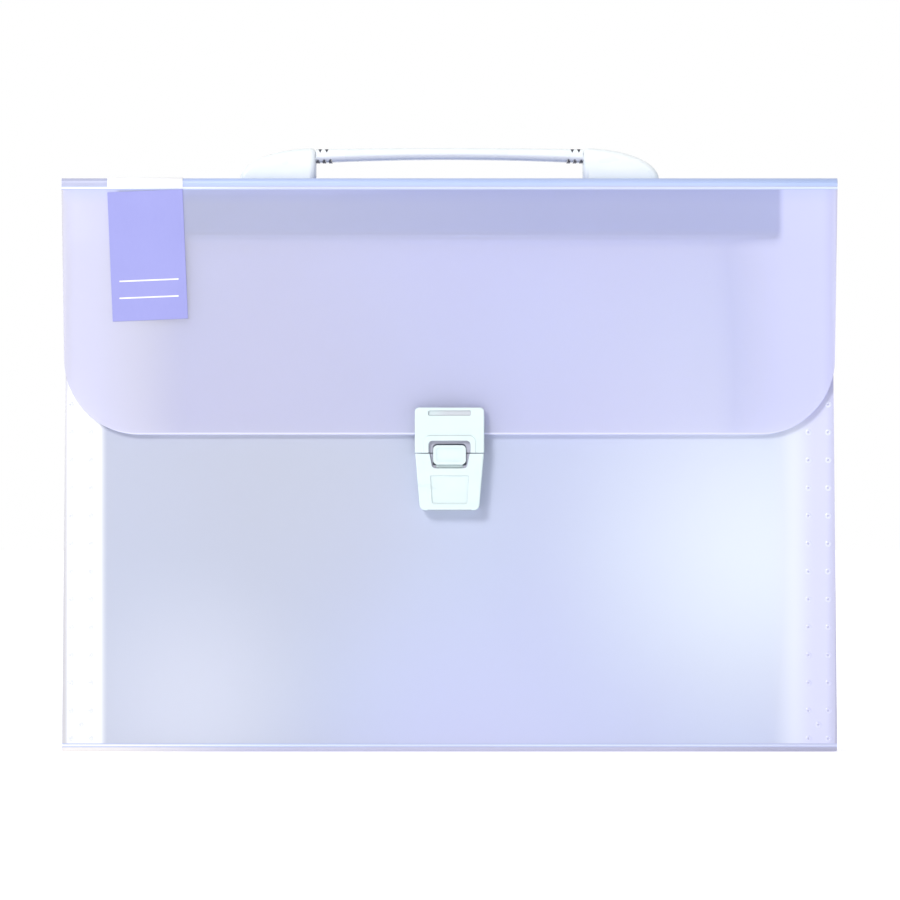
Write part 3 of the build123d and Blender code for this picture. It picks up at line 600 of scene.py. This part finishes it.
# painted shade on faces that look down
HANDLE_WHITE = moulded("handle_moulding", COOL_WHITE, (0.88, 0.92, 0.94), rough=0.28,
                       under=UNDER_SHADE)
NOTCH_SHADE = moulded("notch_shade", (0.05, 0.05, 0.07), (0.07, 0.07, 0.09), rough=0.5)
PLATE_WHITE = moulded("backing_plate", (0.80, 0.85, 0.9), (0.82, 0.87, 0.92), rough=0.45)
TAG_PRINT = card("tag_print", PERIWINKLE, (0.325, 0.335, 0.71), rules=True)
TAG_CARD = card("tag_card", CARD_WHITE, (0.95, 0.95, 0.97))

NODE_MATERIALS = {
    "flap": FLAP_SHEET, "front_panel": FRONT_SHEET, "back_panel": BACK_SHEET,
    "top_spine": SPINE_SHEET, "bottom_spine": SPINE_SHEET, "divider_": DIVIDER_SHEET,
    "gusset": PLEATED_FILM, "weld_dots": WELD, "latch_keeper_plate": PLATE_WHITE,
    "latch_base_plate": PLATE_WHITE, "latch_button": BUTTON_WHITE, "latch_": LATCH_WHITE,
    "handle_plate": PLATE_WHITE, "handle_": HANDLE_WHITE, "label_tag_fold": TAG_CARD,
    "label_tag": TAG_PRINT,
}
SOFT_EDGED = ("flap", "front_panel", "back_panel", "top_spine", "bottom_spine", "latch_keeper",
              "latch_base", "latch_button", "handle_cap", "label_tag")


def dress_nodes():
    """Gives every node the first material whose key starts its name, and softens hard edges."""
    for name, piece in nodes.items():
        for key, material in NODE_MATERIALS.items():
            if name.startswith(key):
                piece.data.materials.clear()
                piece.data.materials.append(material)
                break
        if name.startswith(SOFT_EDGED) and not name.endswith(("_plate", "_rivets")):
            weld = piece.modifiers.new("joined", "WELD")
            weld.merge_threshold = JOIN_WITHIN
            flat = piece.modifiers.new("flat", "DECIMATE")
            flat.decimate_type = "DISSOLVE"
            flat.angle_limit = FLAT_WITHIN
            edge = piece.modifiers.new("edge", "BEVEL")
            edge.width = next(size for key, size in EDGE_ROUNDING.items() if name.startswith(key))
            edge.segments = EDGE_SEGMENTS
            edge.limit_method = "ANGLE"
            edge.angle_limit = EDGE_FROM
            edge.harden_normals = True


def add_piece(name, points, faces, materials, second_from=None, sharp=30):
    """A mesh object from points in metres; faces from second_from on take the second material."""
    mesh = bpy.data.meshes.new(name)
    mesh.from_pydata([tuple(p) for p in points], [], faces)
    for material in materials:
        mesh.materials.append(material)
    mesh.update()
    mesh.polygons.foreach_set("use_smooth", [True] * len(mesh.polygons))
    if second_from is not None:
        for polygon in mesh.polygons:
            polygon.material_index = int(second_from(polygon))
    mesh.set_sharp_from_angle(angle=math.radians(sharp))
    piece = bpy.data.objects.new(name, mesh)
    bpy.context.scene.collection.objects.link(piece)
    return piece


def skin(loops, ends=(True, True)):
    """Points and faces over a row of closed loops with as many points each."""
    count = len(loops[0])
    points = [p for loop in loops for p in loop]
    faces = []
    for row in range(len(loops) - 1):
        here, there = row * count, (row + 1) * count
        for i in range(count):
            j = (i + 1) % count
            faces.append((here + i, here + j, there + j, there + i))
    if ends[0]:
        faces.append(tuple(reversed(range(count))))
    if ends[1]:
        faces.append(tuple(range((len(loops) - 1) * count, len(loops) * count)))
    return points, faces


def turn_out(piece):
    """Makes all faces of a closed piece look outwards."""
    mesh = bmesh.new()
    mesh.from_mesh(piece.data)
    bmesh.ops.recalc_face_normals(mesh, faces=mesh.faces)
    mesh.to_mesh(piece.data)
    mesh.free()
    return piece


def crease(name, face_y, outward, z, upper, lower, length):
    """The thinned strip of a fold, with a painted highlight on the rib along its middle and painted
    shade on its flanks.
    """
    shoulder = CREASE_RIB * 1.15
    profile = [(-CREASE_SIDE, CREASE_FOOT), (-shoulder, CREASE_FOOT)]
    for step in range(CREASE_STEPS + 1):
        angle = math.pi * step / CREASE_STEPS
        rise = math.sin(angle) * (CREASE_TOP - CREASE_FOOT)
        profile.append((-math.cos(angle) * CREASE_RIB, CREASE_FOOT + rise))
    profile += [(shoulder, CREASE_FOOT), (CREASE_SIDE, CREASE_FOOT)]
    skin_back, tongue_back = -0.01 * MM, -0.5 * SHEET
    profile += [(CREASE_TONGUE, skin_back), (CREASE_TONGUE, tongue_back),
                (-CREASE_TONGUE, tongue_back), (-CREASE_TONGUE, skin_back)]
    loops = []
    for i in range(CREASE_COLUMNS + 1):
        x = length * (i / CREASE_COLUMNS - 0.5)
        loops.append([(x, face_y + outward * depth, z + dz) for dz, depth in profile])
    points, faces = skin(loops)
    piece = turn_out(add_piece(name, points, faces, (CREASE_FILM, CREASE_SHADE),
                               lambda face: abs(face.center.z - z) > CREASE_RIB * 1.05))
    if upper == lower:
        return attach(piece, upper)
    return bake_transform(piece)


def ribbon_outline(line, thickness):
    """A closed outline of even thickness around a line of 2-D points."""
    left, right = [], []
    last = len(line) - 1
    for i, (x, y) in enumerate(line):
        ahead, behind = line[min(i + 1, last)], line[max(i - 1, 0)]
        run = math.hypot(ahead[0] - behind[0], ahead[1] - behind[1])
        across = (-(ahead[1] - behind[1]) / run, (ahead[0] - behind[0]) / run)
        half = thickness / 2
        left.append((x + across[0] * half, y + across[1] * half))
        right.append((x - across[0] * half, y - across[1] * half))
    return left + right[::-1]


def bellows_line(side, z):
    """The pleated film from above: it turns at round folds between the dividers and at them."""
    outer, inner = GUSSET_HIGH.x - FILM / 2, GUSSET_LOW.x + FILM / 2
    front, back = FRONT_HIGH.y, BACK_LOW.y
    pitch = (back - front) / POCKETS
    reach, start = 4 * MM, front + 0.5 * MM
    line = [(outer - reach, start)]
    for pocket in range(POCKETS):
        tip = front + pitch * (pocket + 0.5)
        sway = FOLD_SWAY * math.sin(7.3 * pocket + 1.7 * side) * math.sin(23 * z + pocket)
        turns = [(outer - FOLD_SWAY + sway - FOLD_BEND, tip, 1)]
        if pocket < POCKETS - 1:
            turns.append((inner + FOLD_BEND, tip + pitch / 2, -1))
        for x, y, way in turns:
            for step in range(FOLD_STEPS + 1):
                angle = math.pi * (step / FOLD_STEPS - 0.5)
                line.append((x + way * math.cos(angle) * FOLD_BEND,
                             y + math.sin(angle) * FOLD_BEND))
    line.append((outer - reach, back - 0.5 * MM))
    return [(side * x, y) for x, y in line]


def bellows(side, word):
    """The pleats of one side; on the real file they spread like a fan with the front panel."""
    low, high = GUSSET_LOW.z, GUSSET_HIGH.z
    loops = []
    for row in range(BELLOWS_ROWS + 1):
        z = low + (high - low) * row / BELLOWS_ROWS
        loops.append([(x, y, z) for x, y in ribbon_outline(bellows_line(side, z), FILM)])
    points, faces = skin(loops)
    piece = turn_out(add_piece("bellows_" + word, points, faces, (PLEATED_FILM,)))
    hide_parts("gusset_" + word)
    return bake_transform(piece)


def strap_loop(x, low, high, crown, belly, top_cut=0.0, foot_cut=0.0):
    """One section of the strap, rounder below than above, that a notch may cut down."""
    corners = ((GRIP_HIGH.y - crown, high - crown, 0, crown),
               (GRIP_LOW.y + crown, high - crown, 90, crown),
               (GRIP_LOW.y + belly, low + belly, 180, belly),
               (GRIP_HIGH.y - belly, low + belly, 270, belly))
    loop = []
    for y, z, start, radius in corners:
        for step in range(CORNER_STEPS + 1):
            angle = math.radians(start + 90 * step / CORNER_STEPS)
            height = max(low + foot_cut, min(high - top_cut, z + math.sin(angle) * radius))
            loop.append((x, y + math.cos(angle) * radius, height))
    return loop


def notch_cut(from_cap, notches, depth):
    """How far the flex notches cut in at a distance from the cap."""
    nearest = min(abs(from_cap - place) for place in notches)
    return depth * max(0.0, 1 - nearest / NOTCH_HALF) ** NOTCH_CURVE


def notch_places(foot, top):
    """Distance from the cap, height of the mouth and height of the bottom of every notch."""
    for place in NOTCHES_TOP:
        yield place, top, top - NOTCH_DEPTH
    for place in NOTCHES_FOOT:
        yield place, foot, foot + NOTCH_RISE


def strap_half(side, word):
    """Half of the grip strap, from the middle to the stop inside its cap."""
    face = CAP_LOW.x
    foot, top = FLEX_LOW.z, FLEX_HIGH.z
    plain = face - NOTCHED_LENGTH
    stations = [plain * i / STRAP_ROWS for i in range(STRAP_ROWS)]
    stations += [plain + NOTCHED_LENGTH * i / NOTCHED_ROWS for i in range(NOTCHED_ROWS + 1)]
    loops = []
    for x in stations:
        bow = 1 - (x / face) ** 2
        loops.append(strap_loop(side * x, foot + STRAP_FOOT_ARCH * bow,
                                top + (GRIP_HIGH.z - top) * bow, STRAP_CROWN, STRAP_BELLY,
                                notch_cut(face - x, NOTCHES_TOP, NOTCH_DEPTH),
                                notch_cut(face - x, NOTCHES_FOOT, NOTCH_RISE)))
    tail = foot + TAIL_RISE
    tail_end, stop_end = face + TAIL_LENGTH, FLEX_HIGH.x
    for x, thickness in ((face, TAIL_THICKNESS), (tail_end, TAIL_THICKNESS),
                         (tail_end, STOP_THICKNESS), (stop_end, STOP_THICKNESS)):
        loops.append(strap_loop(side * x, tail, tail + thickness, TAIL_EDGE, TAIL_EDGE))
    points, faces = skin(loops, (False, True))
    strap_faces = len(faces)
    # dark wedges of painted shade fill the notches
    for place, mouth, bottom in notch_places(foot, top):
        x = side * (face - place)
        wedge = [[(x - NOTCH_HALF, y, mouth), (x + NOTCH_HALF, y, mouth), (x, y, bottom)]
                 for y in (GRIP_LOW.y + NOTCH_SET, GRIP_HIGH.y - NOTCH_SET)]
        more, around = skin(wedge)
        faces += [tuple(len(points) + i for i in face_points) for face_points in around]
        points += more
    if side < 0:
        faces = [tuple(reversed(face_points)) for face_points in faces]
    piece = add_piece("strap_" + word, points, faces, (HANDLE_WHITE, NOTCH_SHADE),
                      lambda polygon: polygon.index >= strap_faces)
    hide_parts("handle_flex_" + word, "handle_grip")
    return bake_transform(piece)


def islands(mesh):
    """Boxes of a node's separate solids, as centre points."""
    spots = []
    for vertex in mesh.vertices:
        place = vertex.co
        for spot in spots:
            if max(abs(spot[0] - place.x), abs(spot[1] - place.z)) < WELDS_APART:
                spot[2].append((place.x, place.z))
                break
        else:
            spots.append([place.x, place.z, [(place.x, place.z)]])
    centres = []
    for _, _, members in spots:
        xs, zs = [m[0] for m in members], [m[1] for m in members]
        centres.append(((min(xs) + max(xs)) / 2, (min(zs) + max(zs)) / 2))
    return centres


def weld_domes(name, body, outward):
    """Small domes where the film is spot welded to a panel."""
    low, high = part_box(name)
    face_y = high.y if outward < 0 else low.y
    centres = islands(nodes[name].data)
    points, faces = [], []
    for x, z in centres:
        loops = []
        for radius, rise in DOME_PROFILE:
            loops.append([(x + math.cos(2 * math.pi * i / DOME_STEPS) * radius * MM,
                           face_y + outward * (rise + DOME_STAND) * MM,
                           z + math.sin(2 * math.pi * i / DOME_STEPS) * radius * MM)
                          for i in range(DOME_STEPS)])
        base = len(points)
        more, around = skin(loops)
        points += more
        faces += [tuple(base + i for i in face) for face in around]

    # faces in a dome's dimple take painted shade
    def dimpled(face):
        spot = min(centres, key=lambda c: abs(c[0] - face.center.x) + abs(c[1] - face.center.z))
        return math.hypot(spot[0] - face.center.x, spot[1] - face.center.z) < DOME_DIMPLE

    piece = add_piece(name.replace("dots", "domes"), points, faces, (WELD, WELD_SHADE),
                      dimpled, sharp=60)
    turn_out(piece)
    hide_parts(name)
    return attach(piece, body)


def ledge_strip(inner, outer):
    """A flat strip between two lines of points, set back from the latch's face."""
    near = BASE_LOW.y + LEDGE_SET
    far = near + LEDGE
    loops = []
    for (x_in, z_in), (x_out, z_out) in zip(inner, outer):
        loops.append([(x_in, near, z_in), (x_out, near, z_out),
                      (x_out, far, z_out), (x_in, far, z_in)])
    return skin(loops)


def keeper_ledge():
    """The step inside the keeper's window, around the top of the button, grey as painted shade."""
    half, top = BUTTON_HIGH.x + LEDGE_BESIDE, BUTTON_HIGH.z + LEDGE_ABOVE
    foot, window_top = KEEPER_LOW.z + 0.05 * MM, KEEPER_LOW.z + WINDOW_ABOVE + 0.1 * MM
    inner, outer = [(half, foot)], [(WINDOW_HALF, foot)]
    for step in range(CORNER_STEPS + 1):
        angle = math.pi / 2 * step / CORNER_STEPS
        for line, width, height, radius in ((inner, half, top, BUTTON_CORNER),
                                            (outer, WINDOW_HALF, window_top, WINDOW_CORNER)):
            line.append((width - radius + math.cos(angle) * radius,
                         height - radius + math.sin(angle) * radius))
    inner += [(-x, z) for x, z in reversed(inner)]
    outer += [(-x, z) for x, z in reversed(outer)]
    points, faces = ledge_strip(inner, outer)
    piece = add_piece("ledge_keeper", points, faces, (LATCH_SHADE,))
    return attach(turn_out(piece), "flap")


def base_ledge(side, word):
    """One of the two steps inside the base's window, beside the button and its chin, grey as
    painted shade.
    """
    half = BUTTON_HIGH.x + LEDGE_BELOW
    beside_chin = half - CHIN_INSET
    inner, outer = [], []
    for width, millimetres in ((half, 0.05), (half, 4.8), (beside_chin, 5.0), (beside_chin, 6.1)):
        down = millimetres * MM
        inner.append((side * width, BASE_HIGH.z - down))
        outer.append((side * (WINDOW_HALF - 0.2 * MM - WINDOW_DRAW * down), BASE_HIGH.z - down))
    points, faces = ledge_strip(inner, outer)
    piece = add_piece("ledge_base_" + word, points, faces, (LATCH_SHADE,))
    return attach(turn_out(piece), "front")


def make_camera():
    """Straight in front, level, with a long lens."""
    distance, picture_width, sensor = 3.0, 0.3827, 36.0
    centre_x, centre_z = 0.0002, 0.1284
    data = bpy.data.cameras.new("camera")
    data.sensor_width = sensor
    data.lens = sensor * distance / picture_width
    data.clip_end = 50
    camera = bpy.data.objects.new("camera", data)
    bpy.context.scene.collection.objects.link(camera)
    camera.location = (centre_x, FLAP_LOW.y - distance, centre_z)
    camera.rotation_euler = (math.radians(90), 0, 0)
    bpy.context.scene.camera = camera


def make_light(name, place, target, size, power):
    """A round lamp that looks at a target."""
    data = bpy.data.lights.new(name, "AREA")
    data.shape = "DISK"
    data.size = size
    data.energy = power
    lamp = bpy.data.objects.new(name, data)
    bpy.context.scene.collection.objects.link(lamp)
    lamp.location = place
    lamp.rotation_euler = (Vector(target) - Vector(place)).to_track_quat("-Z", "Y").to_euler()


def light_tent():
    """A white surround, dimmer towards the front."""
    world = bpy.data.worlds.new("studio")
    bpy.context.scene.world = world
    world.use_nodes = True
    tree = world.node_tree
    background = tree.nodes["Background"]
    background.inputs["Color"].default_value = (1, 1, 1, 1)
    place = tree.nodes.new("ShaderNodeTexCoord")
    split = tree.nodes.new("ShaderNodeSeparateXYZ")
    tree.links.new(place.outputs["Generated"], split.inputs["Vector"])
    fade = tree.nodes.new("ShaderNodeMapRange")
    limits = (("From Min", -0.4), ("From Max", 0.6), ("To Min", TENT_FRONT), ("To Max", 1.0))
    for key, number in limits:
        fade.inputs[key].default_value = number
    tree.links.new(split.outputs["Y"], fade.inputs["Value"])
    tree.links.new(fade.outputs["Result"], background.inputs["Strength"])


def make_stage():
    """The floor, the surround and the key light."""
    bpy.context.scene.view_settings.view_transform = "Standard"
    light_tent()
    bpy.ops.mesh.primitive_plane_add(size=FLOOR_SIZE, location=(0, 0, -0.2 * MM))
    floor = bpy.context.object
    floor.name = "floor"
    floor.data.materials.append(plain_stage("floor", FLOOR_TINT, FLOOR_GLOW))
    make_light("key", KEY_PLACE, KEY_TARGET, KEY_SIZE, KEY_POWER)


dress_nodes()
width = FRONT_HIGH.x - FRONT_LOW.x
crease("crease_top_front", FLAP_LOW.y, -1, TOP_CREASE, "top", "flap", width)
crease("crease_top_back", BACK_HIGH.y, 1, TOP_CREASE, "top", "shell", width)
crease("crease_foot_front", FRONT_LOW.y, -1, FOOT_CREASE, "front", "shell", width)
crease("crease_foot_back", BACK_HIGH.y, 1, FOOT_CREASE, "shell", "shell", width)
for side, word in ((-1, "left"), (1, "right")):
    bellows(side, word)
    strap_half(side, word)
    weld_domes("weld_dots_front_" + word, "front", -1)
    weld_domes("weld_dots_back_" + word, "shell", 1)
    base_ledge(side, word)
keeper_ledge()
make_camera()
make_stage()
